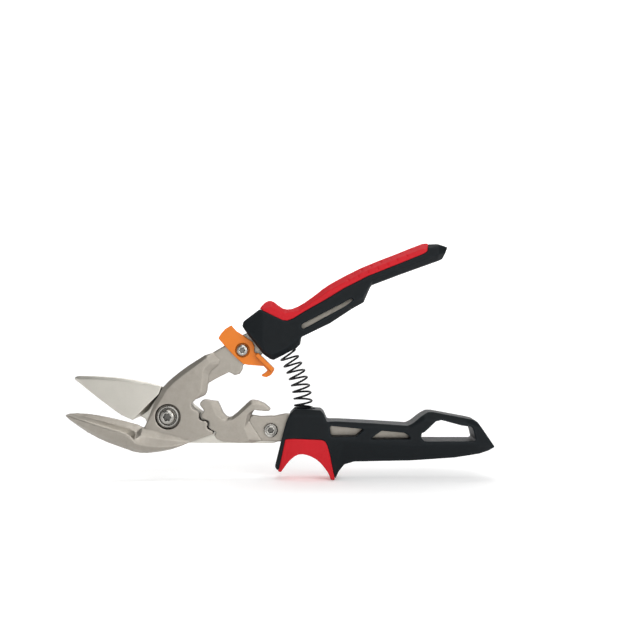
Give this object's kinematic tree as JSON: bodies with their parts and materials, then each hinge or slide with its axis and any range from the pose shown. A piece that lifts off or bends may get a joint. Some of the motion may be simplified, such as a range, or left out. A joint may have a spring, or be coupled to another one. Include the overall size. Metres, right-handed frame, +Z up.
{
  "type": "aviation snips",
  "caption": "Left-cutting offset snips for sheet metal, with a geared compound linkage, a swinging catch, a coil return spring and moulded handles with a finger guard.",
  "frame": {"origin": "centre of the flat rear end face of the main pivot bolt", "axes": "+X from the blade tips towards the handle ends, +Z up towards the upper handle with the tool upright as held, +Y towards the nut side; the latch side faces -Y"},
  "size_m": [0.254, 0.0223, 0.1396],
  "materials": {
    "forged_steel": "bead-blasted, satin",
    "blade_steel": "bead-blasted, light satin with ground cutting edges",
    "fastener_steel": "zinc plated, satin",
    "spring_steel": "black oxide, semi gloss",
    "latch_orange": "powder coated, satin",
    "grip_black": "moulded nylon, matt",
    "pad_red": "soft overmould, matt"
  },
  "bodies": {
    "frame": {"upper_jaw": "blade_steel", "pivot_bolt": "fastener_steel", "pivot_washer": "fastener_steel", "pivot_rear_washer": "fastener_steel", "pivot_nut": "fastener_steel", "lever_bolt": "fastener_steel", "lever_rear_washer": "fastener_steel", "lever_nut": "fastener_steel"},
    "upper_handle": {"lower_jaw": "forged_steel", "upper_grip": "grip_black", "upper_thumb_pad": "pad_red", "upper_spring_peg": "grip_black", "return_spring": "spring_steel", "latch_screw": "fastener_steel", "latch_washer": "fastener_steel", "latch_nut": "fastener_steel"},
    "latch": {"latch": "latch_orange"},
    "lower_handle": {"gear_lever": "forged_steel", "lower_grip": "grip_black", "lower_finger_pad": "pad_red", "lower_spring_peg": "grip_black"}
  },
  "joints": [
    {"name": "jaw_pivot", "type": "hinge", "parent": "frame", "child": "upper_handle", "pos_m": [0, -0.0094, 0], "axis": [0, 1, 0], "range_deg": [0, 21], "stiffness_Nm_per_rad": 0.6, "springref_deg": -28.65, "deforming": ["return_spring"]},
    {"name": "lever_pivot", "type": "hinge", "parent": "frame", "child": "lower_handle", "pos_m": [0.0611, -0.0094, -0.0081], "axis": [0, 1, 0], "range_deg": [-9.6, 0]},
    {"name": "latch_pivot", "type": "hinge", "parent": "upper_handle", "child": "latch", "pos_m": [0.0444, -0.0094, 0.0396], "axis": [0, 1, 0], "range_deg": [0, 15]}
  ],
  "couplings": [
    {"joint": "lever_pivot", "follows": "jaw_pivot", "ratio": -0.45}
  ]
}
